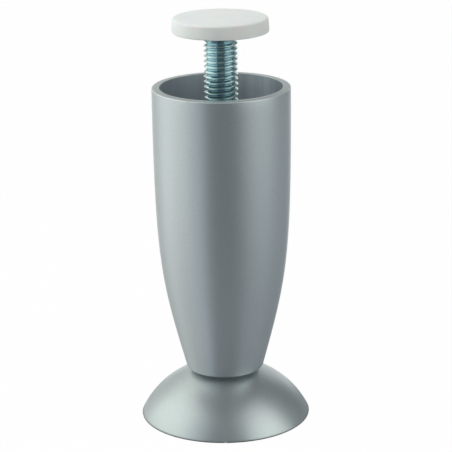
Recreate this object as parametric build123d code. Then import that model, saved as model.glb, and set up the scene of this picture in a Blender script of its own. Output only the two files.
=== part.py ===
from build123d import *
import math
import os

# A height-adjustable furniture leg: a tapered sleeve on a domed base, held together by a threaded
# bush, a toothed washer and a nut, with an adjusting screw and its glide pad in the open end.
# Millimetres. The origin is on the floor, on the leg's axis, and +Z is up.

# Leg as a whole
leg_height = 100.0          # floor to the sleeve's rim
screw_rise = 16.0           # rim to the underside of the pad, as the screw is set

# Domed base, a cast shell that is hollow underneath
base_radius = 25.0
base_wall = 2.4
base_edge_round = 0.5       # outer edge, at the floor
dome_bulge = 2.2            # how far the dome's arc stands out from its chord
seat_height = 14.8          # floor to the face that the sleeve stands on
neck_radius = 8.8           # raised seat in the middle of the crown
neck_height = 0.7           # leaves the dark line between sleeve and dome
spot_face_depth = 1.0       # machined seat for the washer, under the crown
spot_face_clearance = 1.2   # room round the nut for a thin socket

# Tapered sleeve, a cup with a thick floor
rim_radius = 20.0
foot_radius = 11.23
sleeve_wall = 2.25          # measured level, all the way up
sleeve_floor = 4.0
foot_flare = 14.9           # degrees that the wall leans out by at the foot
foot_pull = 28.7            # how far the flare is felt up the wall
rim_pull = 52.5             # how far the upright rim is felt down the wall
rim_round = 0.45
foot_round = 0.8
floor_fillet = 0.8

# Threaded bush, turned from hexagon bar
spigot_radius = 5.95        # M12 thread below the collar, plain here
spigot_clearance = 0.15     # in the sleeve's floor and in the crown
spigot_chamfer = 0.8
underside_clearance = 2.0   # floor to the bush's lower end
collar_height = 4.0
collar_clearance = 0.5      # collar's corners to the floor's fillet
barrel_radius = 6.5
barrel_length = 49.0        # above the collar
barrel_chamfer = 0.6
fixing_bore_radius = 3.4    # tapping size of M8, for the bolt that holds the leg
fixing_bore_depth = 18.0
bore_chamfer = 0.6

# Lock nut and toothed washer
nut_across_flats = 18.0
nut_height = 6.0
nut_bore_clearance = 0.05
nut_chamfer_angle = 30.0
thread_protrusion = 1.0     # thread that shows below the nut
washer_radius = 10.2
washer_thickness = 1.0
washer_bore_clearance = 0.4
washer_teeth = 12
washer_tooth_depth = 1.8
washer_gap_share = 0.35     # share of the washer's edge that is gaps

# Adjusting screw, M10 thread, plain at its crest size here
screw_radius = 4.925
screw_running_clearance = 0.05
screw_length = 65.0         # under the head to the tip
screw_tip_chamfer = 1.0
screw_neck_radius = 4.2     # undercut between thread and head
screw_neck_length = 3.2
head_radius = 10.0
head_thickness = 1.6

# Glide pad, snapped over the screw's head
pad_radius = 14.0           # at its underside
pad_draft = 0.3             # how much smaller the top is
pad_thickness = 4.0
pad_top_round = 0.7
pad_bottom_round = 0.3
pad_skin = 1.25             # above the head
snap_overlap = 0.8          # how far the lip reaches under the head
head_side_play = 0.06
head_end_play = 0.05

# Heights that follow from the sizes above
bush_bottom = underside_clearance
nut_bottom = bush_bottom + thread_protrusion
washer_bottom = nut_bottom + nut_height
crown_underside = washer_bottom + washer_thickness
sleeve_floor_top = seat_height + sleeve_floor
collar_top = sleeve_floor_top + collar_height
bush_top = collar_top + barrel_length
pad_underside = leg_height + screw_rise
pad_top = pad_underside + pad_thickness
pocket_top = pad_top - pad_skin
head_top = pocket_top - head_end_play
head_underside = head_top - head_thickness
pocket_bottom = head_underside - head_end_play
screw_tip = head_underside - screw_length

# Radii that follow from them
nut_corner_radius = nut_across_flats / math.sqrt(3)
spot_face_radius = nut_corner_radius + spot_face_clearance
spigot_hole_radius = spigot_radius + spigot_clearance
cavity_floor_radius = foot_radius + sleeve_floor * math.tan(math.radians(foot_flare)) - sleeve_wall
collar_corner_radius = cavity_floor_radius - floor_fillet - collar_clearance
screw_bore_radius = screw_radius + screw_running_clearance


def turned(*edges):
    """A solid of revolution about Z, from an outline drawn as (radius, height)."""
    return revolve(Plane.XZ * make_face(Curve() + list(edges)), Axis.Z)


def dome_circle():
    """Centre and radius of the circle that the dome's arc lies on."""
    low = Vector(base_radius, base_edge_round)
    high = Vector(neck_radius, seat_height - neck_height)
    chord = high - low
    radius = (chord.length ** 2 / 4 + dome_bulge ** 2) / (2 * dome_bulge)
    inward = Vector(-chord.Y, chord.X).normalized()
    return (low + high) / 2 + inward * (radius - dome_bulge), radius


def dome_point(height, inset=0.0):
    """Point on the dome's arc, or on the arc that lies inset inside it, at a height."""
    centre, radius = dome_circle()
    reach = math.sqrt((radius - inset) ** 2 - (height - centre.Y) ** 2)
    return (centre.X + reach, height)


def dome_arc(low, high, inset=0.0):
    """The dome's arc between two heights."""
    middle = dome_point((low + high) / 2, inset)
    return ThreePointArc(dome_point(low, inset), middle, dome_point(high, inset))


def domed_base():
    inner_top = crown_underside - spot_face_depth
    inner_foot = dome_point(0.0, base_wall)
    inner_crown = dome_point(inner_top, base_wall)
    edge_start = (base_radius - base_edge_round, 0)
    edge_end = dome_point(base_edge_round)
    crown_end = dome_point(seat_height - neck_height)
    return turned(
        RadiusArc(edge_start, edge_end, -base_edge_round),
        dome_arc(base_edge_round, seat_height - neck_height),
        Polyline(
            crown_end,
            (neck_radius, seat_height),
            (spigot_hole_radius, seat_height),
            (spigot_hole_radius, crown_underside),
            (spot_face_radius, crown_underside),
            (spot_face_radius, inner_top),
            inner_crown,
        ),
        dome_arc(0.0, inner_top, base_wall),
        Line(inner_foot, edge_start),
    )


def sleeve_curve(inset=0.0):
    """The sleeve's side from foot to rim, or the side of its cavity when inset by the wall."""
    lean = math.radians(foot_flare)
    foot = Vector(foot_radius - inset, seat_height)
    rim = Vector(rim_radius - inset, leg_height)
    foot_handle = foot + Vector(math.sin(lean), math.cos(lean)) * foot_pull
    rim_handle = rim - Vector(0, rim_pull)
    return Bezier(foot, foot_handle, rim_handle, rim)


def tapered_sleeve():
    outside = turned(
        sleeve_curve(),
        Polyline(
            (rim_radius, leg_height),
            (0, leg_height),
            (0, seat_height),
            (foot_radius, seat_height),
        ),
    )
    cavity = turned(
        sleeve_curve(sleeve_wall),
        Polyline(
            (rim_radius - sleeve_wall, leg_height),
            (0, leg_height),
            (0, seat_height),
            (foot_radius - sleeve_wall, seat_height),
        ),
    )
    floor_block = Pos(0, 0, seat_height) * Cylinder(
        rim_radius, sleeve_floor, align=(Align.CENTER, Align.CENTER, Align.MIN)
    )
    cavity = cavity - floor_block
    cavity = fillet(cavity.edges().group_by(Axis.Z)[0], floor_fillet)
    hole = Pos(0, 0, seat_height) * Cylinder(
        spigot_hole_radius, sleeve_floor, align=(Align.CENTER, Align.CENTER, Align.MIN)
    )
    sleeve = outside - cavity - hole
    sleeve = fillet(sleeve.edges().group_by(Axis.Z)[-1], rim_round)
    foot_edge = sleeve.edges().group_by(Axis.Z)[0].sort_by(SortBy.RADIUS)[-1]
    return fillet(foot_edge, foot_round)


def hexagon(corner_radius, bottom, height):
    """A hexagon prism standing on a height."""
    return Pos(0, 0, bottom) * extrude(RegularPolygon(corner_radius, 6), height)


def threaded_bush():
    spigot_top = sleeve_floor_top
    body = turned(
        Polyline(
            (0, bush_bottom),
            (spigot_radius - spigot_chamfer, bush_bottom),
            (spigot_radius, bush_bottom + spigot_chamfer),
            (spigot_radius, spigot_top),
            (barrel_radius, spigot_top),
            (barrel_radius, bush_top - barrel_chamfer),
            (barrel_radius - barrel_chamfer, bush_top),
            (0, bush_top),
            close=True,
        )
    )
    bore = turned(
        Polyline(
            (0, bush_bottom),
            (fixing_bore_radius + bore_chamfer, bush_bottom),
            (fixing_bore_radius, bush_bottom + bore_chamfer),
            (fixing_bore_radius, bush_bottom + fixing_bore_depth),
            (screw_bore_radius, bush_bottom + fixing_bore_depth),
            (screw_bore_radius, bush_top - bore_chamfer),
            (screw_bore_radius + bore_chamfer, bush_top),
            (0, bush_top),
            close=True,
        )
    )
    return body + hexagon(collar_corner_radius, spigot_top, collar_height) - bore


def lock_nut():
    """A thin hexagon nut, its corners turned off at both ends."""
    drop = (nut_corner_radius - nut_across_flats / 2) * math.tan(math.radians(nut_chamfer_angle))
    flat_radius = nut_across_flats / 2
    bore_radius = spigot_radius + nut_bore_clearance
    nut_top = nut_bottom + nut_height
    blank = turned(
        Polyline(
            (bore_radius, nut_bottom),
            (flat_radius, nut_bottom),
            (nut_corner_radius, nut_bottom + drop),
            (nut_corner_radius, nut_top - drop),
            (flat_radius, nut_top),
            (bore_radius, nut_top),
            close=True,
        )
    )
    return blank & hexagon(nut_corner_radius, nut_bottom, nut_height)


def lock_washer():
    """A flat washer with a row of teeth round its edge."""
    bore_radius = spigot_radius + washer_bore_clearance
    ring = Circle(washer_radius) - Circle(bore_radius)
    gap_width = 2 * math.pi * washer_radius * washer_gap_share / washer_teeth
    gap = Rectangle(2 * washer_tooth_depth, gap_width)
    toothed = ring - PolarLocations(washer_radius, washer_teeth) * gap
    return Pos(0, 0, washer_bottom) * extrude(toothed, washer_thickness)


def adjusting_screw():
    neck_bottom = head_underside - screw_neck_length
    shoulder = screw_radius - screw_neck_radius
    return turned(
        Polyline(
            (0, screw_tip),
            (screw_radius - screw_tip_chamfer, screw_tip),
            (screw_radius, screw_tip + screw_tip_chamfer),
            (screw_radius, neck_bottom - shoulder),
            (screw_neck_radius, neck_bottom),
            (screw_neck_radius, head_underside),
            (head_radius, head_underside),
            (head_radius, head_top),
            (0, head_top),
            close=True,
        )
    )


def glide_pad():
    disc = turned(
        Polyline(
            (0, pad_underside),
            (pad_radius, pad_underside),
            (pad_radius - pad_draft, pad_top),
            (0, pad_top),
            close=True,
        )
    )
    disc = fillet(disc.edges().group_by(Axis.Z)[-1], pad_top_round)
    disc = fillet(disc.edges().group_by(Axis.Z)[0], pad_bottom_round)
    lip_radius = head_radius - snap_overlap
    pocket_radius = head_radius + head_side_play
    pocket = turned(
        Polyline(
            (0, pad_underside),
            (lip_radius, pad_underside),
            (lip_radius, pocket_bottom),
            (pocket_radius, pocket_bottom),
            (pocket_radius, pocket_top),
            (0, pocket_top),
            close=True,
        )
    )
    return disc - pocket


pieces = {
    "domed_base": domed_base(),
    "tapered_sleeve": tapered_sleeve(),
    "threaded_bush": threaded_bush(),
    "lock_washer": lock_washer(),
    "lock_nut": lock_nut(),
    "adjusting_screw": adjusting_screw(),
    "glide_pad": glide_pad(),
}

os.makedirs("parts", exist_ok=True)
for name, piece in pieces.items():
    export_step(piece, f"parts/{name}.step")
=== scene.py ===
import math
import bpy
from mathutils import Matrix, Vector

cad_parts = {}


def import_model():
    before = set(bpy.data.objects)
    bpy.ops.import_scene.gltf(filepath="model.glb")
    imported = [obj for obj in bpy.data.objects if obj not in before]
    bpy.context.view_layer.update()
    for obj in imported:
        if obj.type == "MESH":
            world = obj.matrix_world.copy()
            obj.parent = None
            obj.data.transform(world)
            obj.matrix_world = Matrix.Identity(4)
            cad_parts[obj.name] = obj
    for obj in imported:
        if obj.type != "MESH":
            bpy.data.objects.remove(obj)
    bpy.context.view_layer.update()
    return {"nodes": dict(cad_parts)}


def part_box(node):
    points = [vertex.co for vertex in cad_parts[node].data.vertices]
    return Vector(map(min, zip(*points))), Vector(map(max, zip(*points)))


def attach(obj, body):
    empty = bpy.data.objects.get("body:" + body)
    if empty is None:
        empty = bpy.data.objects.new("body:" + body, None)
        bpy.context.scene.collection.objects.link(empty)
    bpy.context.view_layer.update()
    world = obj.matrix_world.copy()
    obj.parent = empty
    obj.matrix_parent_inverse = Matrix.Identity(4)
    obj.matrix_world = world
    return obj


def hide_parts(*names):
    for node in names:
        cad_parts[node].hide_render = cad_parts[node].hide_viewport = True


bl_info = {
    "name": "Furniture Leg",
    "version": (1, 0, 0),
    "blender": (4, 5, 0),
    "location": "3D View > Sidebar > Leg",
    "description": "Dresses a height-adjustable furniture leg: turned pieces, threads, finishes and studio",
    "category": "Object",
}

import bmesh
import bpy
from bpy.props import FloatProperty, FloatVectorProperty, IntProperty, PointerProperty
from mathutils import Matrix, Vector

# Metres. The origin is on the floor, on the leg's axis, and +Z is up.

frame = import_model()

dome_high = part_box("domed_base")[1]
washer_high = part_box("lock_washer")[1]
sleeve_low, sleeve_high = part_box("tapered_sleeve")
bush_low, bush_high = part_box("threaded_bush")
screw_low, screw_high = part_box("adjusting_screw")
pad_low, pad_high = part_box("glide_pad")

MM = 0.001
MICRON = 0.000001

# Tints of the studio's light
WARM_WHITE = (0.93, 1.0, 0.92)
COOL_WHITE = (0.86, 0.94, 1.0)
PLAIN_WHITE = (0.97, 1.0, 0.98)

# Distances from the origin between which a floor board changes from its near strength to its far one
GLOW_NEAR = 30 * MM
GLOW_FAR = 300 * MM


def size(name, default, text):
    """A length that the user can set."""
    return FloatProperty(name=name, description=text, default=default, min=0.0, precision=5, unit="LENGTH")


def colour(name, default, text):
    """A colour that the user can set."""
    return FloatVectorProperty(
        name=name, description=text, default=default, min=0.0, max=1.0, size=4, subtype="COLOR"
    )


def share(name, default, text):
    """A number from 0 to 1 that the user can set."""
    return FloatProperty(name=name, description=text, default=default, min=0.0, max=1.0, subtype="FACTOR")


def turn(name, default, text):
    """An angle that the user can set, with its default in degrees."""
    return FloatProperty(
        name=name, description=text, default=math.radians(default), subtype="ANGLE", unit="ROTATION"
    )


def count(name, default, text):
    """A number of steps that the user can set."""
    return IntProperty(name=name, description=text, default=default, min=1, max=480)


class LegSleeveSizes(bpy.types.PropertyGroup):
    """Sizes of the tapered sleeve."""

    rim_radius: size("Rim Radius", sleeve_high.x, "Outside of the sleeve at its open end")
    rim_height: size("Rim Height", sleeve_high.z, "Floor to the sleeve's open end")
    foot_radius: size("Foot Radius", 11.23 * MM, "Outside of the sleeve where it meets the dome")
    foot_height: size("Foot Height", sleeve_low.z, "Floor to the sleeve's lower end")
    foot_flare: turn("Foot Flare", 14.9, "How far the side leans out at its foot")
    foot_pull: size("Foot Pull", 28.7 * MM, "How far the flare is felt up the side")
    rim_pull: size("Rim Pull", 52.5 * MM, "How far the upright rim is felt down the side")
    wall: size("Wall", 2.25 * MM, "Thickness of the side, measured level")
    floor: size("Floor", 4.0 * MM, "Thickness of the closed end")
    rim_round: size("Rim Round", 0.3 * MM, "Rounding of the rim's outer edge")
    bore_round: size("Bore Round", 0.12 * MM, "Rounding of the rim's inner edge")
    rim_fall: size("Rim Fall", 0.15 * MM, "How much lower the rim's outer edge is than its inner edge")
    foot_round: size("Foot Round", 1.2 * MM, "Rounding of the edge that meets the dome")
    floor_fillet: size("Floor Fillet", 0.8 * MM, "Fillet between the floor and the side, inside")
    hole_radius: size("Hole Radius", 6.1 * MM, "Hole in the floor, for the bush")
    # The rubbed bright edges are wear, and also a painted highlight along the rim's edges
    wear_and_glint_reach: size("Wear Reach", 0.3 * MM, "How far from the rim's edges the lacquer is rubbed bright")


class LegDomeSizes(bpy.types.PropertyGroup):
    """Sizes of the domed base."""

    radius: size("Radius", dome_high.x, "Outside of the dome at the floor")
    seat_height: size("Seat Height", dome_high.z, "Floor to the face that the sleeve stands on")
    wall: size("Wall", 2.4 * MM, "Thickness of the shell")
    bulge: size("Bulge", 2.2 * MM, "How far the arc stands out from its chord")
    edge_round: size("Edge Round", 0.5 * MM, "Rounding of the outer edge")
    neck_radius: size("Neck Radius", 8.8 * MM, "Raised seat under the sleeve")
    neck_height: size("Neck Height", 0.7 * MM, "Height of the raised seat")
    seat_radius: size("Washer Seat Radius", 11.59 * MM, "Machined seat for the washer, under the crown")
    seat_depth: size("Washer Seat Depth", 1.0 * MM, "Depth of the machined seat")
    hole_radius: size("Hole Radius", 6.1 * MM, "Hole in the crown, for the bush")


class LegBushSizes(bpy.types.PropertyGroup):
    """Sizes of the threaded bush."""

    spigot_radius: size("Spigot Radius", 5.95 * MM, "Lower end, which the lock nut turns on")
    spigot_chamfer: size("Spigot Chamfer", 0.8 * MM, "Chamfer of the lower end")
    collar_height: size("Collar Height", 4.0 * MM, "Hexagon that sits on the sleeve's floor")
    collar_chamfer: turn("Collar Chamfer", 30.0, "Angle that the hexagon's corners are turned off at")
    barrel_radius: size("Barrel Radius", 6.5 * MM, "Outside of the upper part")
    barrel_chamfer: size("Barrel Chamfer", 0.6 * MM, "Chamfers of the upper end")
    screw_bore: size("Screw Bore", 4.975 * MM, "Bore that the adjusting screw turns in")
    thread_crest: size("Fixing Thread Crest", 3.4 * MM, "Inner radius of the M8 fixing thread")
    thread_root: size("Fixing Thread Root", 4.0 * MM, "Outer radius of the M8 fixing thread")
    thread_pitch: size("Fixing Thread Pitch", 1.25 * MM, "Pitch of the M8 fixing thread")
    thread_depth: size("Fixing Thread Depth", 18.0 * MM, "How deep the fixing bore is")
    thread_chamfer: size("Fixing Thread Chamfer", 0.6 * MM, "Lead-in of the fixing bore")


class LegScrewSizes(bpy.types.PropertyGroup):
    """Sizes of the adjusting screw and its pad."""

    crest_radius: size("Crest Radius", 4.925 * MM, "Outside of the M10 thread")
    root_radius: size("Root Radius", 4.08 * MM, "Bottom of the M10 thread")
    pitch: size("Pitch", 1.5 * MM, "Rise of the thread in one turn")
    thread_round: size("Thread Round", 0.09 * MM, "Rounding of the thread's edges")
    tip_chamfer: size("Tip Chamfer", 1.0 * MM, "Chamfer of the lower end")
    neck_radius: size("Neck Radius", 4.2 * MM, "Undercut between thread and head")
    neck_length: size("Neck Length", 3.2 * MM, "Length of the undercut")
    head_thickness: size("Head Thickness", 1.6 * MM, "Thickness of the disc inside the pad")
    pad_draft: size("Pad Draft", 0.3 * MM, "How much smaller the pad's top is than its underside")
    pad_top_round: size("Pad Top Round", 0.7 * MM, "Rounding of the pad's upper edge")
    pad_bottom_round: size("Pad Bottom Round", 0.3 * MM, "Rounding of the pad's lower edge")
    pad_skin: size("Pad Skin", 1.25 * MM, "Plastic above the screw's head")
    pocket_radius: size("Pocket Radius", 10.06 * MM, "Inside of the pad, round the head")
    lip_radius: size("Lip Radius", 9.2 * MM, "Opening under the head")
    lip_thickness: size("Lip Thickness", 1.05 * MM, "Lip that snaps under the head")


class LegFinish(bpy.types.PropertyGroup):
    """Colours of the five finishes."""

    silver: colour("Satin Silver", (0.61, 0.65, 0.665, 1.0), "Sleeve and dome")
    silver_shade: colour("Satin Silver Shade", (0.53, 0.57, 0.585, 1.0), "Darker flakes in the silver")
    # Inside colours: a darker, bluer copy of the silver, painted shade inside the cup
    inside: colour("Sleeve Inside", (0.45, 0.50, 0.55, 1.0), "Thin lacquer inside the sleeve")
    inside_shade: colour("Sleeve Inside Shade", (0.39, 0.44, 0.49, 1.0), "Darker grain inside the sleeve")
    # Bare metal is brighter than the lacquer: wear on the rim's edges, and a painted highlight there
    bare_metal_and_glint: colour("Bare Metal", (0.80, 0.83, 0.83, 1.0), "Where edges are rubbed bright")
    zinc: colour("Blue Zinc", (0.75, 0.91, 0.90, 1.0), "Crests of the adjusting screw's thread")
    # Darker, bluer colour for the thread's grooves: painted shade in the roots
    zinc_groove_painted_shade: colour("Blue Zinc Shade", (0.38, 0.56, 0.61, 1.0), "Grooves of the thread")
    steel: colour("Turned Steel", (0.58, 0.62, 0.65, 1.0), "Bush, washer and nut")
    steel_shade: colour("Turned Steel Shade", (0.42, 0.44, 0.46, 1.0), "Darker cutting marks in the steel")
    plastic: colour("White Plastic", (0.85, 0.875, 0.872, 1.0), "Pad")
    plastic_shade: colour("White Plastic Shade", (0.825, 0.85, 0.847, 1.0), "Darker patches in the plastic")


class LegStudio(bpy.types.PropertyGroup):
    """Camera, floor and lights."""

    camera_back: size("Camera Distance", 544.7 * MM, "Level distance from the leg's axis to the camera")
    camera_height: size("Camera Height", 225.2 * MM, "Height of the camera over the floor")
    camera_pitch: turn("Camera Pitch", -17.053, "Tilt of the camera, down")
    camera_yaw: turn("Camera Yaw", -0.088, "Turn of the camera about the vertical")
    camera_roll: turn("Camera Roll", -0.806, "Lean of the camera")
    lens: FloatProperty(name="Lens", description="Focal length in mm", default=155.1, unit="CAMERA")
    sensor: FloatProperty(name="Sensor", description="Its width in mm", default=36.0, unit="CAMERA")
    look_height: size("Look Height", 60 * MM, "Height that the key lamp and the boards are turned to")
    key_power: FloatProperty(name="Key Lamp", description="Power in watts", default=1.7, min=0.0)
    key_width: size("Key Lamp Width", 200 * MM, "Across the key lamp's disk")
    key_left: size("Key Lamp Left", 490 * MM, "How far the key lamp stands to the camera's left")
    key_behind: size("Key Lamp Behind", 90 * MM, "How far the key lamp stands behind the leg")
    key_height: size("Key Lamp Height", 560 * MM, "Height of the key lamp")
    room_light: share("Room Light", 0.32, "Strength of the room's light from the side")
    room_light_above: share("Room Light Above", 0.62, "Strength of the room's light from straight above")
    softbox_distance: size("Softbox Distance", 800 * MM, "How far the softboxes stand from the leg")
    board_distance: size("Board Distance", 820 * MM, "How far the dim boards stand from the leg")
    shadow_width: size("Foot Shadow", 2.5 * MM, "Width of the dark ring on the floor round the dome")
    shadow_inset: size("Foot Shadow Inset", 0.3 * MM, "How far that ring reaches in under the dome's edge")
    floor_radius: size("Floor Radius", 3.0, "Outside of the floor")
    floor_gap: size("Floor Gap", 0.05 * MM, "How far the floor lies under the leg")
    floor_white: share("Floor White", 0.985, "How much of the floor that the camera sees is plain white")


class LegDetail(bpy.types.PropertyGroup):
    """How finely the shapes are divided."""

    turn: count("Turn", 240, "Steps of a full turn of a turned piece")
    corner: count("Corner", 6, "Steps of a rounded corner")
    side: count("Side", 48, "Steps up the sleeve's side")
    dome: count("Dome", 40, "Steps up the dome's arc")
    bush_thread: count("Fixing Thread", 48, "Steps of a turn of the M8 thread")
    screw_thread: count("Screw Thread", 72, "Steps of a turn of the M10 thread")
    thread_corner: count("Thread Corner", 3, "Steps of a rounded edge of the thread")
    board: count("Board", 8, "Steps up a board")
    board_degrees: count("Board Degrees", 6, "Degrees of one step round a board")


def sizes(kind):
    """The size group of that name, from the scene."""
    return getattr(bpy.context.scene, f"leg_{kind}")


# Outlines, drawn as (radius, height) points


def rounded(corners, closed, steps):
    """An outline whose corners are rounded. Each corner is (radius, height, rounding)."""
    points = []
    for i, (radius, height, rounding) in enumerate(corners):
        here = Vector((radius, height))
        if rounding == 0:
            points.append(here)
            continue
        after = corners[(i + 1) % len(corners)] if closed else corners[i + 1]
        back = (Vector(corners[i - 1][:2]) - here).normalized()
        on = (Vector(after[:2]) - here).normalized()
        half = back.angle(on) / 2
        centre = here + (back + on).normalized() * rounding / math.sin(half)
        start = here + back * rounding / math.tan(half) - centre
        end = here + on * rounding / math.tan(half) - centre
        sweep = math.copysign(start.angle(end), start.x * end.y - start.y * end.x)
        points += [centre + Matrix.Rotation(sweep * k / steps, 2) @ start for k in range(steps + 1)]
    return points


def bezier(p0, p1, p2, p3, steps):
    """Points of a cubic curve, both ends included."""
    curve = []
    for k in range(steps + 1):
        t = k / steps
        s = 1 - t
        curve.append(p0 * s**3 + p1 * (3 * s * s * t) + p2 * (3 * s * t * t) + p3 * t**3)
    return curve


def sharp(points):
    """Points of an outline as corners with no rounding."""
    return [(p.x, p.y, 0) for p in points]


# Meshes


def boundary_at(bm, height):
    """The open edges that lie level at a height."""
    return [
        e for e in bm.edges if e.is_boundary and all(abs(v.co.z - height) < MICRON for v in e.verts)
    ]


def set_ring(verts, radius, height):
    """Moves a ring of vertices to a height and a radius, which may be a function of the angle."""
    for v in verts:
        angle = math.atan2(v.co.y, v.co.x)
        reach = radius(angle) if callable(radius) else radius
        v.co = (reach * math.cos(angle), reach * math.sin(angle), height)


def grow_rings(bm, loop, rings):
    """Carries an open loop on through rings of (radius, height), and returns the last loop."""
    for radius, height in rings:
        grown = bmesh.ops.extrude_edge_only(bm, edges=loop)["geom"]
        verts = [g for g in grown if isinstance(g, bmesh.types.BMVert)]
        set_ring(verts, radius, height)
        fresh = set(verts)
        loop = [
            g for g in grown if isinstance(g, bmesh.types.BMEdge) and fresh.issuperset(g.verts)
        ]
    return loop


def helix(bm, ridge, pitch, low, high, steps):
    """A right-handed thread: the ridge, one pitch high, spun upwards and cut level at both ends.
    It is spun from more than a turn under the one to more than a turn over the other, so that each
    cut goes right through it."""
    run_in = 1.1 * pitch
    extra_turns = 3
    start = low - run_in
    turns = math.ceil((high - low) / pitch) + extra_turns
    verts = [bm.verts.new((p.x, 0, start + p.y)) for p in ridge]
    edges = [bm.edges.new(pair) for pair in zip(verts, verts[1:])]
    bmesh.ops.spin(
        bm,
        geom=verts + edges,
        cent=(0, 0, 0),
        axis=(0, 0, 1),
        dvec=(0, 0, pitch / steps),
        angle=math.tau,
        steps=steps,
        use_merge=False,
    )
    first_turn = bm.verts[:] + bm.edges[:] + bm.faces[:]
    for k in range(1, turns):
        copied = bmesh.ops.duplicate(bm, geom=first_turn)["geom"]
        moved = [g for g in copied if isinstance(g, bmesh.types.BMVert)]
        bmesh.ops.translate(bm, verts=moved, vec=(0, 0, pitch * k))
    bmesh.ops.remove_doubles(bm, verts=bm.verts, dist=MICRON)
    for height, below in ((low, True), (high, False)):
        bmesh.ops.bisect_plane(
            bm,
            geom=bm.verts[:] + bm.edges[:] + bm.faces[:],
            dist=MICRON / 10,
            plane_co=(0, 0, height),
            plane_no=(0, 0, 1),
            clear_inner=below,
            clear_outer=not below,
        )


def thread_ridge(outer, inner, pitch, outer_flat, rounding=0):
    """One pitch of a metric thread, from the middle of a groove to the middle of the next."""
    flank = (outer - inner) * math.tan(math.radians(30))
    inner_half = (pitch - outer_flat - 2 * flank) / 2
    corners = [
        (inner, 0, 0),
        (inner, inner_half, rounding),
        (outer, inner_half + flank, rounding),
        (outer, inner_half + flank + outer_flat, rounding),
        (inner, pitch - inner_half, rounding),
        (inner, pitch, 0),
    ]
    return rounded(corners, False, sizes("detail").thread_corner)


def turned(corners, closed=True):
    """A mesh of an outline that is rounded at its corners and spun once round Z."""
    detail = sizes("detail")
    bm = bmesh.new()
    verts = [bm.verts.new((p.x, 0, p.y)) for p in rounded(corners, closed, detail.corner)]
    ends = verts[1:] + verts[:1] if closed else verts[1:]
    edges = [bm.edges.new(pair) for pair in zip(verts, ends)]
    bmesh.ops.spin(
        bm,
        geom=verts + edges,
        cent=(0, 0, 0),
        axis=(0, 0, 1),
        angle=math.tau,
        steps=detail.turn,
        use_merge=True,
    )
    return bm


def mesh_object(name, bm, material):
    """An object in the scene, made from a finished mesh and its material."""
    mesh = bpy.data.meshes.new(name)
    bm.to_mesh(mesh)
    bm.free()
    mesh.materials.append(material)
    made = bpy.data.objects.new(name, mesh)
    bpy.context.scene.collection.objects.link(made)
    return made


def piece(name, bm, material, body, replaced, crease=28):
    """Finishes a mesh, and makes it a piece that stands for a CAD node on its body. An edge that
    turns by crease degrees or more is sharp."""
    bmesh.ops.remove_doubles(bm, verts=bm.verts, dist=MICRON)
    bmesh.ops.dissolve_degenerate(bm, edges=bm.edges, dist=MICRON / 10)
    bmesh.ops.recalc_face_normals(bm, faces=bm.faces)
    for face in bm.faces:
        face.smooth = True
    for edge in bm.edges:
        edge.smooth = len(edge.link_faces) == 2 and edge.calc_face_angle() < math.radians(crease)
    made = mesh_object(name, bm, bpy.data.materials[material])
    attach(made, body)
    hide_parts(replaced)
    return made


# Materials


class Tree:
    """A node tree that is written from left to right."""

    def __init__(self, tree):
        self.tree = tree

    def add(self, kind, options=None, **inputs):
        """Adds a node, sets its options, and sets or links its inputs by name."""
        made = self.tree.nodes.new(kind)
        for key, value in (options or {}).items():
            setattr(made, key, value)
        for key, value in inputs.items():
            self.feed(made.inputs[key.replace("_", " ")], value)
        return made

    def feed(self, socket, value):
        """Links an output to a socket, or sets the socket's own value."""
        if isinstance(value, bpy.types.NodeSocket):
            self.tree.links.new(value, socket)
        else:
            socket.default_value = value

    def maths(self, operation, *values):
        """A Math node's result."""
        made = self.tree.nodes.new("ShaderNodeMath")
        made.operation = operation
        for socket, value in zip(made.inputs, values):
            self.feed(socket, value)
        return made.outputs[0]

    def mixed(self, factor, first, second):
        """Two colours mixed by a factor."""
        made = self.tree.nodes.new("ShaderNodeMix")
        made.data_type = "RGBA"
        first_in, second_in = [socket for socket in made.inputs if socket.type == "RGBA"]
        self.feed(made.inputs["Factor"], factor)
        self.feed(first_in, first)
        self.feed(second_in, second)
        return next(socket for socket in made.outputs if socket.type == "RGBA")

    def ranged(self, value, low, high, to_low, to_high):
        """A value carried from one range to another, and held inside it."""
        made = self.tree.nodes.new("ShaderNodeMapRange")
        for socket, entry in zip(made.inputs, (value, low, high, to_low, to_high)):
            self.feed(socket, entry)
        return made.outputs[0]

    def from_axis(self, position):
        """How far a position is from the leg's axis, and how high."""
        x, y, z = self.add("ShaderNodeSeparateXYZ", Vector=position).outputs
        square = self.maths("ADD", self.maths("MULTIPLY", x, x), self.maths("MULTIPLY", y, y))
        return self.maths("SQRT", square), z


def group(name, inputs, outputs):
    """A node group with its sockets: inputs are (name, kind, default) and outputs (name, kind).
    It gives back the group's tree, what is given to it and what it puts out."""
    made = bpy.data.node_groups.new(name, "ShaderNodeTree")
    for title, kind, default in inputs:
        socket = made.interface.new_socket(title, in_out="INPUT", socket_type=kind)
        if default is not None:
            socket.default_value = default
    for title, kind in outputs:
        made.interface.new_socket(title, in_out="OUTPUT", socket_type=kind)
    tree = Tree(made)
    return tree, tree.add("NodeGroupInput").outputs, tree.add("NodeGroupOutput").inputs


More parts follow.
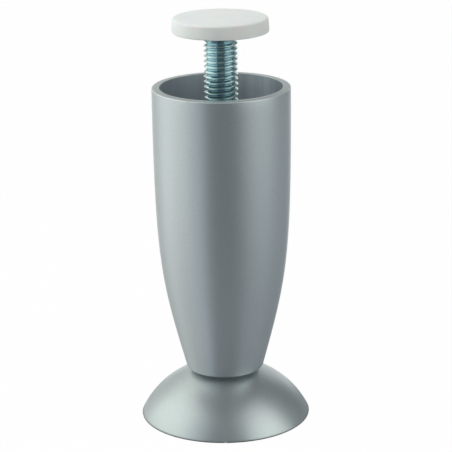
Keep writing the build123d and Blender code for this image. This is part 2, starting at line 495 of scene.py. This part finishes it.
def flake_group():
    """Fine flakes of a silver lacquer: which are dark, how rough they are, and how they stand."""
    tree, given, out = group(
        "leg_flakes",
        [
            ("Position", "NodeSocketVector", None),
            ("Flakes per Metre", "NodeSocketFloat", 7000.0),
            ("Roughness", "NodeSocketFloat", 0.4),
            ("Spread", "NodeSocketFloat", 0.05),
        ],
        [("Dark", "NodeSocketFloat"), ("Roughness", "NodeSocketFloat"), ("Height", "NodeSocketFloat")],
    )
    position = given["Position"]
    flakes = tree.add("ShaderNodeTexVoronoi", Vector=position, Scale=given["Flakes per Metre"])
    grain = tree.add("ShaderNodeTexNoise", Vector=position, Scale=2200.0, Detail=3.0, Roughness=0.7)
    clouds = tree.add("ShaderNodeTexNoise", Vector=position, Scale=140.0, Detail=3.0)
    tone = tree.add("ShaderNodeSeparateColor", Color=flakes.outputs["Color"])
    speckle = tree.maths("MULTIPLY", tone.outputs["Red"], 0.35)
    mottle = tree.ranged(grain.outputs["Fac"], 0.3, 0.7, 0.0, 0.65)
    tree.feed(out["Dark"], tree.maths("ADD", speckle, mottle))
    offset = tree.maths("MULTIPLY", tree.maths("SUBTRACT", clouds.outputs["Fac"], 0.5), given["Spread"])
    tree.feed(out["Roughness"], tree.maths("ADD", given["Roughness"], offset))
    tree.feed(out["Height"], tone.outputs["Green"])


def mark_group():
    """Fine rings that turning leaves, across flat ends and along round sides."""
    tree, given, out = group(
        "leg_turning_marks",
        [("Position", "NodeSocketVector", None), ("Rings per Metre", "NodeSocketFloat", 5000.0)],
        [("Mark", "NodeSocketFloat"), ("Height", "NodeSocketFloat"), ("Radius", "NodeSocketFloat")],
    )
    radius, height = tree.from_axis(given["Position"])
    along = tree.add("ShaderNodeCombineXYZ", X=radius, Y=height, Z=0.0).outputs["Vector"]
    rings = tree.add("ShaderNodeTexNoise", Vector=along, Scale=given["Rings per Metre"], Detail=2.0)
    patches = tree.add("ShaderNodeTexNoise", Vector=given["Position"], Scale=300.0, Detail=4.0)
    tree.feed(out["Mark"], tree.maths("MULTIPLY", rings.outputs["Fac"], patches.outputs["Fac"]))
    tree.feed(out["Height"], rings.outputs["Fac"])
    tree.feed(out["Radius"], radius)


def wear_and_glint_group():
    """Where the ring-shaped edge at a radius and height is brighter: partly rubbed by hands and tools, and
    partly a painted highlight along the edge.
    """
    tree, given, out = group(
        "leg_edge_wear_and_glint",
        [
            ("Position", "NodeSocketVector", None),
            ("Edge Radius", "NodeSocketFloat", 0.0),
            ("Edge Height", "NodeSocketFloat", 0.0),
            ("Reach", "NodeSocketFloat", 0.3 * MM),
            ("Amount", "NodeSocketFloat", 1.0),
        ],
        [("Worn And Glint", "NodeSocketFloat")],
    )
    radius, height = tree.from_axis(given["Position"])
    out_by = tree.maths("ABSOLUTE", tree.maths("SUBTRACT", radius, given["Edge Radius"]))
    up_by = tree.maths("ABSOLUTE", tree.maths("SUBTRACT", height, given["Edge Height"]))
    away = tree.maths("DIVIDE", tree.maths("MAXIMUM", out_by, up_by), given["Reach"])
    patches = tree.add("ShaderNodeTexNoise", Vector=given["Position"], Scale=900.0, Detail=3.0)
    even = tree.ranged(patches.outputs["Fac"], 0.2, 0.6, 0.6, 1.0)
    edge = tree.ranged(away, 0.6, 1.0, 1.0, 0.0)
    tree.feed(out["Worn And Glint"], tree.maths("MULTIPLY", tree.maths("MULTIPLY", edge, even), given["Amount"]))


def empty_material(name):
    """A new material with no nodes, and its tree."""
    made = bpy.data.materials.new(name)
    made.use_nodes = True
    made.node_tree.nodes.clear()
    return made, Tree(made.node_tree)


def material_tree(name):
    """A new material with a plain Principled shader: its tree, shader and position."""
    tree = empty_material(name)[1]
    shader = tree.add("ShaderNodeBsdfPrincipled")
    tree.add("ShaderNodeOutputMaterial", Surface=shader.outputs["BSDF"])
    return tree, shader, tree.add("ShaderNodeTexCoord").outputs["Object"]


def bump(tree, height, distance, strength):
    """A bump's normal."""
    return tree.add("ShaderNodeBump", Height=height, Distance=distance, Strength=strength).outputs["Normal"]


def placed(tree, group_name, **inputs):
    """A node group's outputs, placed in a material with its own values."""
    options = {"node_tree": bpy.data.node_groups[group_name]}
    return tree.add("ShaderNodeGroup", options, **inputs).outputs


def silver_lacquer():
    """Silver lacquer on zinc casting: even and silky, with flakes too fine to count. Along the rim's
    edges it is brighter bare metal: partly rubbed wear, and partly a painted highlight on the edges."""
    finish = sizes("finish")
    tree, shader, position = material_tree("silver_lacquer")
    flakes = placed(tree, "leg_flakes", Position=position, Roughness=0.4, Spread=0.05)
    sleeve = sizes("sleeve")

    def rubbed(radius, amount):
        """Where the rim's edge at that radius is brighter: rubbed wear, and a painted highlight."""
        return placed(
            tree,
            "leg_edge_wear_and_glint",
            Position=position,
            Edge_Radius=radius,
            Edge_Height=sleeve.rim_height - sleeve.rim_fall / 2,
            Reach=sleeve.wear_and_glint_reach,
            Amount=amount,
        )["Worn And Glint"]

    # The rim's edges are painted brighter: wear, and a painted highlight along each edge
    outer = rubbed(sleeve.rim_radius, 1.0)
    inner = rubbed(sleeve.rim_radius - sleeve.wall, 0.5)
    worn_and_glint = tree.maths("MAXIMUM", outer, inner)
    body = tree.mixed(flakes["Dark"], finish.silver, finish.silver_shade)
    tree.feed(shader.inputs["Base Color"], tree.mixed(worn_and_glint, body, finish.bare_metal_and_glint))
    tree.feed(shader.inputs["Roughness"], flakes["Roughness"])
    tree.feed(shader.inputs["Normal"], bump(tree, flakes["Height"], 1 * MICRON, 0.3))
    tree.feed(shader.inputs["Metallic"], tree.ranged(worn_and_glint, 0.0, 1.0, 0.9, 0.5))


def silver_inside_painted_shade():
    """The inside of the sleeve: a duller, darker and bluer copy of the silver lacquer, whose darker colour
    is painted shade inside the cup, with faint upright streaks."""
    finish = sizes("finish")
    tree, shader, position = material_tree("silver_inside_painted_shade")
    flakes = placed(tree, "leg_flakes", Position=position, Roughness=0.6, Spread=0.1)
    drawn_out = tree.add("ShaderNodeMapping", Vector=position, Scale=(1.0, 1.0, 0.04))
    runs = tree.add("ShaderNodeTexNoise", Vector=drawn_out.outputs["Vector"], Scale=420.0, Detail=3.0)
    streak = tree.ranged(runs.outputs["Fac"], 0.35, 0.65, -0.6, 0.9)
    dull = tree.maths("ADD", tree.maths("MULTIPLY", flakes["Dark"], 0.5), streak)
    tree.feed(shader.inputs["Base Color"], tree.mixed(dull, finish.inside, finish.inside_shade))
    tree.feed(shader.inputs["Roughness"], flakes["Roughness"])
    tree.feed(shader.inputs["Normal"], bump(tree, flakes["Height"], 2 * MICRON, 0.4))
    shader.inputs["Metallic"].default_value = 0.3


def zinc_plate():
    """Blue-bright zinc plate: mirror-like on the thread's crests, duller in its grooves, which are
    painted darker and bluer as shade in the thread's roots.
    """
    finish = sizes("finish")
    thread = sizes("screw")
    tree, shader, position = material_tree("zinc_plate")
    marks = placed(tree, "leg_turning_marks", Position=position, Rings_per_Metre=3000.0)
    groove_floor = thread.root_radius + 0.2 * MM
    crest_edge = thread.crest_radius - 0.15 * MM
    # Darker towards the thread's roots: painted shade in the grooves
    groove = tree.ranged(marks["Radius"], groove_floor, crest_edge, 1.0, 0.0)
    patch = tree.ranged(marks["Mark"], 0.15, 0.4, -0.1, 0.1)
    body = tree.mixed(tree.maths("ADD", groove, patch), finish.zinc, finish.zinc_groove_painted_shade)
    tree.feed(shader.inputs["Base Color"], body)
    tree.feed(shader.inputs["Roughness"], tree.ranged(groove, 0.0, 1.0, 0.08, 0.2))
    tree.feed(shader.inputs["Normal"], bump(tree, marks["Height"], 1 * MICRON, 0.3))
    shader.inputs["Metallic"].default_value = 1.0


def machined_steel():
    """Bright steel as it comes off the lathe."""
    finish = sizes("finish")
    tree, shader, position = material_tree("machined_steel")
    marks = placed(tree, "leg_turning_marks", Position=position, Rings_per_Metre=6000.0)
    dark = tree.ranged(marks["Mark"], 0.15, 0.45, 0.0, 1.0)
    tree.feed(shader.inputs["Base Color"], tree.mixed(dark, finish.steel, finish.steel_shade))
    tree.feed(shader.inputs["Roughness"], tree.ranged(marks["Mark"], 0.1, 0.5, 0.28, 0.42))
    tree.feed(shader.inputs["Normal"], bump(tree, marks["Height"], 3 * MICRON, 0.5))
    shader.inputs["Metallic"].default_value = 1.0


def moulded_plastic():
    """Moulded white plastic with a silky skin."""
    finish = sizes("finish")
    tree, shader, position = material_tree("moulded_plastic")
    patches = tree.add("ShaderNodeTexNoise", Vector=position, Scale=220.0, Detail=5.0)
    skin = tree.add("ShaderNodeTexNoise", Vector=position, Scale=3500.0, Detail=2.0)
    tone = tree.ranged(patches.outputs["Fac"], 0.3, 0.7, 0.0, 1.0)
    tree.feed(shader.inputs["Base Color"], tree.mixed(tone, finish.plastic, finish.plastic_shade))
    tree.feed(shader.inputs["Roughness"], tree.ranged(patches.outputs["Fac"], 0.3, 0.7, 0.46, 0.52))
    tree.feed(shader.inputs["Normal"], bump(tree, skin.outputs["Fac"], 5 * MICRON, 0.3))
    shader.inputs["Subsurface Weight"].default_value = 0.25
    shader.inputs["Subsurface Scale"].default_value = 1.2 * MM


# Operators, one for each piece or group of like pieces


class LEG_OT_materials(bpy.types.Operator):
    """Make the node groups and the five finishes"""

    bl_idname = "leg.materials"
    bl_label = "Finishes"

    def execute(self, context):
        for build_group in (flake_group, mark_group, wear_and_glint_group):
            build_group()
        for build_finish in (silver_lacquer, silver_inside_painted_shade, zinc_plate, machined_steel, moulded_plastic):
            build_finish()
        return {"FINISHED"}


class LEG_OT_sleeve(bpy.types.Operator):
    """Turn the tapered sleeve"""

    bl_idname = "leg.sleeve"
    bl_label = "Tapered Sleeve"

    def execute(self, context):
        s = sizes("sleeve")
        up_the_side = Vector((math.sin(s.foot_flare), math.cos(s.foot_flare)))

        def side(inset):
            """The outside of the sleeve, or a line that lies inset inside it, from foot to rim."""
            foot = Vector((s.foot_radius - inset, s.foot_height))
            rim = Vector((s.rim_radius - inset, s.rim_height))
            foot_handle = foot + up_the_side * s.foot_pull
            rim_handle = rim - Vector((0, s.rim_pull))
            return bezier(foot, foot_handle, rim_handle, rim, sizes("detail").side)

        outside = side(0.0)
        floor_top = s.foot_height + s.floor
        clear_of_fillet = floor_top + s.floor_fillet * 2
        inside = [p for p in side(s.wall) if p.y > clear_of_fillet]
        corner = s.foot_radius - s.wall + s.floor * math.tan(s.foot_flare)
        outline = [
            (outside[0].x, outside[0].y, s.foot_round),
            *sharp(outside[1:-1]),
            (outside[-1].x, outside[-1].y - s.rim_fall, s.rim_round),
            (inside[-1].x, inside[-1].y, s.bore_round),
            *sharp(reversed(inside[:-1])),
            (corner, floor_top, s.floor_fillet),
            (s.hole_radius, floor_top, 0),
            (s.hole_radius, s.foot_height, 0),
        ]
        sleeve = piece("sleeve", turned(outline), "silver_lacquer", "leg", "tapered_sleeve")
        # Faces inside the cup get the darker copy of the silver: painted shade
        sleeve.data.materials.append(bpy.data.materials["silver_inside_painted_shade"])
        bore_top = s.rim_height - s.bore_round
        for face in sleeve.data.polygons:
            faces_in = face.normal.xy.dot(face.center.xy) < 0 and face.center.z < bore_top
            face.material_index = 1 if faces_in else 0
        return {"FINISHED"}


class LEG_OT_dome(bpy.types.Operator):
    """Turn the domed base"""

    bl_idname = "leg.dome"
    bl_label = "Domed Base"

    def execute(self, context):
        s = sizes("dome")
        steps = sizes("detail").dome
        crown = s.seat_height - s.neck_height
        low = Vector((s.radius, s.edge_round))
        high = Vector((s.neck_radius, crown))
        chord = high - low
        arc_radius = (chord.length**2 / 4 + s.bulge**2) / (2 * s.bulge)
        inward = Vector((-chord.y, chord.x)).normalized()
        centre = (low + high) / 2 + inward * (arc_radius - s.bulge)

        def arc(bottom, top, inset):
            """The dome's arc, or one that lies inset inside it, from one height to another."""
            reach = arc_radius - inset
            start = math.asin((bottom - centre.y) / reach)
            end = math.asin((top - centre.y) / reach)
            angles = [start + (end - start) * k / steps for k in range(steps + 1)]
            return [centre + Vector((math.cos(a), math.sin(a))) * reach for a in angles]

        seat_top = washer_high.z
        seat_foot = seat_top - s.seat_depth
        inside = arc(0.0, seat_foot, s.wall)
        short_of_arc = s.edge_round * 0.9
        outline = [
            (s.radius, 0, short_of_arc),
            *sharp(arc(s.edge_round, crown, 0.0)),
            (s.neck_radius, s.seat_height, 0),
            (s.hole_radius, s.seat_height, 0),
            (s.hole_radius, seat_top, 0),
            (s.seat_radius, seat_top, 0),
            (s.seat_radius, seat_foot, 0),
            *sharp(reversed(inside)),
        ]
        piece("dome", turned(outline), "silver_lacquer", "leg", "domed_base")
        return {"FINISHED"}


class LEG_OT_bush(bpy.types.Operator):
    """Turn the threaded bush, with its fixing thread cut in the lower end"""

    bl_idname = "leg.bush"
    bl_label = "Threaded Bush"

    def execute(self, context):
        s = sizes("bush")
        foot, top = bush_low.z, bush_high.z
        bore_top = foot + s.thread_depth
        thread_low = foot + s.thread_chamfer
        thread_high = bore_top - s.thread_pitch
        collar_low = sleeve_low.z + sizes("sleeve").floor
        collar_top = collar_low + s.collar_height
        corner = bush_high.x
        flat = corner * math.cos(math.radians(30))
        drop = (corner - flat) * math.tan(s.collar_chamfer)

        def hexagon(angle):
            """How far out the hexagon reaches at an angle."""
            return flat / math.cos(angle % math.radians(60) - math.radians(30))

        root_flat = s.thread_pitch / 8
        bm = bmesh.new()
        ridge = thread_ridge(s.thread_root, s.thread_crest, s.thread_pitch, root_flat)
        helix(bm, ridge, s.thread_pitch, thread_low, thread_high, sizes("detail").bush_thread)
        lower = grow_rings(bm, boundary_at(bm, thread_low), [(s.thread_root, foot)])
        outside = grow_rings(
            bm,
            boundary_at(bm, thread_high),
            [
                (s.thread_crest, thread_high),
                (s.thread_crest, bore_top),
                (s.screw_bore, bore_top),
                (s.screw_bore, top - s.barrel_chamfer),
                (s.screw_bore + s.barrel_chamfer, top),
                (s.barrel_radius - s.barrel_chamfer, top),
                (s.barrel_radius, top - s.barrel_chamfer),
                (s.barrel_radius, collar_top),
                (flat, collar_top),
                (hexagon, collar_top - drop),
                (hexagon, collar_low),
                (s.spigot_radius, collar_low),
                (s.spigot_radius, foot + s.spigot_chamfer),
                (s.spigot_radius - s.spigot_chamfer, foot),
            ],
        )
        bmesh.ops.bridge_loops(bm, edges=lower + outside)
        piece("bush", bm, "machined_steel", "leg", "threaded_bush")
        return {"FINISHED"}


class LEG_OT_fasteners(bpy.types.Operator):
    """Give the lock nut and the toothed washer their finish"""

    bl_idname = "leg.fasteners"
    bl_label = "Lock Nut and Washer"

    def execute(self, context):
        for node in ("lock_nut", "lock_washer"):
            kept = frame["nodes"][node]
            kept.data.materials.clear()
            kept.data.materials.append(bpy.data.materials["machined_steel"])
        return {"FINISHED"}


class LEG_OT_screw(bpy.types.Operator):
    """Cut the adjusting screw's thread, and add its neck and head"""

    bl_idname = "leg.screw"
    bl_label = "Adjusting Screw"

    def execute(self, context):
        s = sizes("screw")
        tip, head_top = screw_low.z, screw_high.z
        head_low = head_top - s.head_thickness
        thread_top = head_low - s.neck_length
        crest_flat = s.pitch / 7
        bm = bmesh.new()
        ridge = thread_ridge(s.crest_radius, s.root_radius, s.pitch, crest_flat, s.thread_round)
        helix(bm, ridge, s.pitch, tip, thread_top, sizes("detail").screw_thread)
        # The thread is chamfered at the tip, and runs out into the neck.
        for v in bm.verts:
            radius = math.hypot(v.co.x, v.co.y)
            rise = v.co.z - tip
            room = min(s.crest_radius - s.tip_chamfer + rise, s.neck_radius + thread_top - v.co.z)
            if radius > room:
                v.co.x *= room / radius
                v.co.y *= room / radius
        bmesh.ops.edgeloop_fill(bm, edges=boundary_at(bm, tip))
        top = grow_rings(
            bm,
            boundary_at(bm, thread_top),
            [
                (s.neck_radius, thread_top),
                (s.neck_radius, head_low),
                (screw_high.x, head_low),
                (screw_high.x, head_top),
            ],
        )
        bmesh.ops.edgeloop_fill(bm, edges=top)
        piece("screw", bm, "zinc_plate", "screw", "adjusting_screw", crease=12)
        return {"FINISHED"}


class LEG_OT_pad(bpy.types.Operator):
    """Mould the glide pad"""

    bl_idname = "leg.pad"
    bl_label = "Glide Pad"

    def execute(self, context):
        s = sizes("screw")
        foot, top = pad_low.z, pad_high.z
        outline = [
            (0, top, 0),
            (pad_high.x - s.pad_draft, top, s.pad_top_round),
            (pad_high.x, foot, s.pad_bottom_round),
            (s.lip_radius, foot, 0),
            (s.lip_radius, foot + s.lip_thickness, 0),
            (s.pocket_radius, foot + s.lip_thickness, 0),
            (s.pocket_radius, top - s.pad_skin, 0),
            (0, top - s.pad_skin, 0),
        ]
        bm = turned(outline, closed=False)
        piece("pad", bm, "moulded_plastic", "pad", "glide_pad")
        return {"FINISHED"}


class LEG_OT_stage(bpy.types.Operator):
    """Set up the floor, the lights and the camera"""

    bl_idname = "leg.stage"
    bl_label = "Studio"

    def execute(self, context):
        floor()
        softboxes()
        dim_boards()
        floor_boards()
        key_lamp()
        world()
        camera()
        context.scene.view_settings.view_transform = "Standard"
        return {"FINISHED"}


def glow(name, strength, tint, near_share=1.0):
    """A material that gives off light. It is near_share as strong beside the leg as it is far out."""
    made, tree = empty_material(name)
    place = tree.add("ShaderNodeTexCoord").outputs["Object"]
    away = tree.add("ShaderNodeVectorMath", {"operation": "LENGTH"}, Vector=place).outputs["Value"]
    level = tree.ranged(away, GLOW_NEAR, GLOW_FAR, strength * near_share, strength)
    light = tree.add("ShaderNodeEmission", Color=(*tint, 1.0), Strength=level)
    tree.add("ShaderNodeOutputMaterial", Surface=light.outputs[0])
    return made


def board(name, azimuths, outline, material, lights_all=False):
    """A curved board of the studio, which the camera doesn't see. It is an outline, drawn as
    (radius, height), swept between two azimuths: 0 is towards the camera, and 90 to its right.
    A dim board is there for reflections only."""
    start, end = (math.radians(azimuth - 90) for azimuth in azimuths)
    bm = bmesh.new()
    verts = [bm.verts.new((p.x * math.cos(start), p.x * math.sin(start), p.y)) for p in outline]
    edges = [bm.edges.new(pair) for pair in zip(verts, verts[1:])]
    bmesh.ops.spin(
        bm,
        geom=verts + edges,
        cent=(0, 0, 0),
        axis=(0, 0, 1),
        angle=end - start,
        steps=max(2, round(math.degrees(end - start) / sizes("detail").board_degrees)),
        use_merge=False,
    )
    made = mesh_object(name, bm, material)
    made.visible_camera = False
    made.visible_diffuse = lights_all
    made.visible_shadow = lights_all


def round_the_leg(elevations, distance):
    """The outline of a board that bends round the leg's middle, between two elevations."""
    middle = Vector((0, sizes("studio").look_height))
    steps = sizes("detail").board
    low, high = (math.radians(elevation) for elevation in elevations)
    angles = [low + (high - low) * k / steps for k in range(steps + 1)]
    return [middle + Vector((math.cos(a), math.sin(a))) * distance for a in angles]


def on_the_floor(near, far):
    """The outline of a board that lies on the floor, between two distances from the axis."""
    return [Vector((near, 0)), Vector((far, 0))]


def floor():
    """A plain pale floor. It is white to the eye and in reflections, and takes a soft shadow."""
    s = sizes("studio")
    paint, tree = empty_material("pale_floor")
    lit = tree.add("ShaderNodeBsdfDiffuse", Color=(0.55, 0.55, 0.55, 1.0))
    white = tree.add("ShaderNodeEmission", Color=(1.0, 1.0, 1.0, 1.0), Strength=1.0)
    mix = tree.add("ShaderNodeMixShader", Fac=tree.maths("MULTIPLY", seen_directly(tree), s.floor_white))
    tree.feed(mix.inputs[1], lit.outputs[0])
    tree.feed(mix.inputs[2], white.outputs[0])
    tree.add("ShaderNodeOutputMaterial", Surface=mix.outputs[0])
    bm = bmesh.new()
    bmesh.ops.create_circle(bm, cap_ends=True, segments=96, radius=s.floor_radius)
    bmesh.ops.translate(bm, verts=bm.verts, vec=(0, 0, -s.floor_gap))
    mesh_object("floor", bm, paint)


def seen_directly(tree):
    """1 where the camera, a reflection or a refraction sees a surface, and 0 where it only lights."""
    ray = tree.add("ShaderNodeLightPath").outputs
    through = tree.maths("MAXIMUM", ray["Is Glossy Ray"], ray["Is Transmission Ray"])
    return tree.maths("MAXIMUM", ray["Is Camera Ray"], through)


def softboxes():
    """Two softboxes, which light everything."""
    distance = sizes("studio").softbox_distance
    for name, azimuths, elevations, strength in (
        ("left_softbox", (-130, -58), (2, 52), 1.3),
        ("right_softbox", (40, 92), (4, 43), 1.38),
    ):
        outline = round_the_leg(elevations, distance)
        board(name, azimuths, outline, glow(name, strength, WARM_WHITE), lights_all=True)


def dim_boards():
    """Boards that stand where the photograph's room was dim, between the softboxes and above."""
    distance = sizes("studio").board_distance
    for name, azimuths, elevations, strength, tint in (
        ("front_left_board", (-58, -31), (-4, 60), 0.76, COOL_WHITE),
        ("front_board", (-31, 31), (-4, 60), 0.18, COOL_WHITE),
        ("front_right_board", (31, 40), (-4, 60), 0.95, COOL_WHITE),
        ("right_board", (92, 148), (-4, 60), 0.2, COOL_WHITE),
        ("back_board", (148, 195), (0, 24), 0.85, PLAIN_WHITE),
        ("high_back_board", (148, 195), (24, 60), 0.3, PLAIN_WHITE),
        ("back_left_board", (195, 230), (-4, 28), 0.6, PLAIN_WHITE),
        ("high_back_left_board", (195, 230), (28, 60), 1.0, WARM_WHITE),
        ("top_board", (0, 359), (60, 88), 0.1, COOL_WHITE),
    ):
        board(name, azimuths, round_the_leg(elevations, distance), glow(name, strength, tint))


def floor_boards():
    """Boards that lie on the floor round the leg, as dim as the photograph's table was; most are dimmer
    beside the leg, as painted shade, and a dark ring round the dome paints its shadow on the floor."""
    s = sizes("studio")
    ring_inside = dome_high.x - s.shadow_inset
    ring_outside = ring_inside + s.shadow_width
    outline = on_the_floor(ring_outside, s.softbox_distance)
    # A near_share under 1 paints the leg's shade on the floor beside it
    for name, azimuths, strength, tint, near_share in (
        ("back_left_floor_board", (-155, -120), 0.65, PLAIN_WHITE, 0.8),
        ("left_floor_board", (-120, -85), 1.15, PLAIN_WHITE, 0.6),
        ("near_left_floor_board", (-85, -58), 0.93, PLAIN_WHITE, 0.65),
        ("front_left_floor_board", (-58, -29), 0.7, COOL_WHITE, 0.9),
        ("front_floor_board", (-29, 33), 0.13, COOL_WHITE, 2.0),
        ("front_right_floor_board", (33, 52), 0.35, COOL_WHITE, 1.1),
        ("right_floor_board", (52, 88), 0.58, COOL_WHITE, 0.65),
        ("back_right_floor_board", (88, 150), 0.42, COOL_WHITE, 0.8),
        ("back_floor_board", (150, 205), 1.15, PLAIN_WHITE, 1.0),
    ):
        board(name, azimuths, outline, glow(name, strength, tint, near_share))
    ring = on_the_floor(ring_inside, ring_outside)
    board("foot_shadow_board", (0, 359), ring, glow("foot_shadow", 0.1, COOL_WHITE))


def key_lamp():
    """A lamp high on the left, for matt surfaces: reflections show the softboxes in its place."""
    s = sizes("studio")
    place = Vector((-s.key_left, s.key_behind, s.key_height))
    aim = Vector((0, 0, s.look_height)) - place
    data = bpy.data.lights.new("key_lamp", "AREA")
    data.shape = "DISK"
    data.size = s.key_width
    data.energy = s.key_power
    lamp = bpy.data.objects.new("key_lamp", data)
    bpy.context.scene.collection.objects.link(lamp)
    lamp.location = place
    lamp.rotation_euler = aim.to_track_quat("-Z", "Y").to_euler()
    lamp.visible_camera = False
    lamp.visible_glossy = False


def world():
    """The room: white to the eye and in reflections, and an even light that is stronger from above."""
    s = sizes("studio")
    made = bpy.data.worlds.new("room")
    made.use_nodes = True
    tree = Tree(made.node_tree)
    back = made.node_tree.nodes["Background"]
    back.inputs["Color"].default_value = (1.0, 1.0, 1.0, 1.0)
    way = tree.add("ShaderNodeSeparateXYZ", Vector=tree.add("ShaderNodeTexCoord").outputs["Generated"])
    room_light = tree.ranged(way.outputs["Z"], 0.0, 1.0, s.room_light, s.room_light_above)
    tree.feed(back.inputs["Strength"], tree.ranged(seen_directly(tree), 0.0, 1.0, room_light, 1.0))
    bpy.context.scene.world = made


def camera():
    """The camera, where the photograph was taken from."""
    s = sizes("studio")
    data = bpy.data.cameras.new("camera")
    data.sensor_width = s.sensor
    data.lens = s.lens
    data.clip_start = 0.01
    data.clip_end = 20.0
    made = bpy.data.objects.new("camera", data)
    bpy.context.scene.collection.objects.link(made)
    made.matrix_world = (
        Matrix.Translation((0, -s.camera_back, s.camera_height))
        @ Matrix.Rotation(s.camera_yaw, 4, "Z")
        @ Matrix.Rotation(math.radians(90) + s.camera_pitch, 4, "X")
        @ Matrix.Rotation(s.camera_roll, 4, "Z")
    )
    bpy.context.scene.camera = made


OPERATORS = (
    LEG_OT_materials,
    LEG_OT_sleeve,
    LEG_OT_dome,
    LEG_OT_bush,
    LEG_OT_fasteners,
    LEG_OT_screw,
    LEG_OT_pad,
    LEG_OT_stage,
)

GROUPS = {
    "leg_sleeve": LegSleeveSizes,
    "leg_dome": LegDomeSizes,
    "leg_bush": LegBushSizes,
    "leg_screw": LegScrewSizes,
    "leg_finish": LegFinish,
    "leg_studio": LegStudio,
    "leg_detail": LegDetail,
}


class LEG_PT_panel(bpy.types.Panel):
    """The leg's pieces and studio"""

    bl_label = "Furniture Leg"
    bl_idname = "LEG_PT_panel"
    bl_space_type = "VIEW_3D"
    bl_region_type = "UI"
    bl_category = "Leg"

    def draw(self, context):
        for operator in OPERATORS:
            self.layout.operator(operator.bl_idname)
        for name, kind in GROUPS.items():
            box = self.layout.box()
            box.label(text=kind.__doc__)
            for entry in kind.__annotations__:
                box.prop(getattr(context.scene, name), entry)


def register():
    """Makes the sizes, the operators and the panel known."""
    for name, kind in GROUPS.items():
        bpy.utils.register_class(kind)
        setattr(bpy.types.Scene, name, PointerProperty(type=kind))
    for kind in (*OPERATORS, LEG_PT_panel):
        bpy.utils.register_class(kind)


def unregister():
    """Takes them away again, in the opposite order."""
    for kind in reversed((*OPERATORS, LEG_PT_panel)):
        bpy.utils.unregister_class(kind)
    for name, kind in reversed(GROUPS.items()):
        delattr(bpy.types.Scene, name)
        bpy.utils.unregister_class(kind)


def main():
    """Runs every operator."""
    register()
    for operator in OPERATORS:
        prefix, name = operator.bl_idname.split(".")
        getattr(getattr(bpy.ops, prefix), name)()


if __name__ == "__main__":
    main()
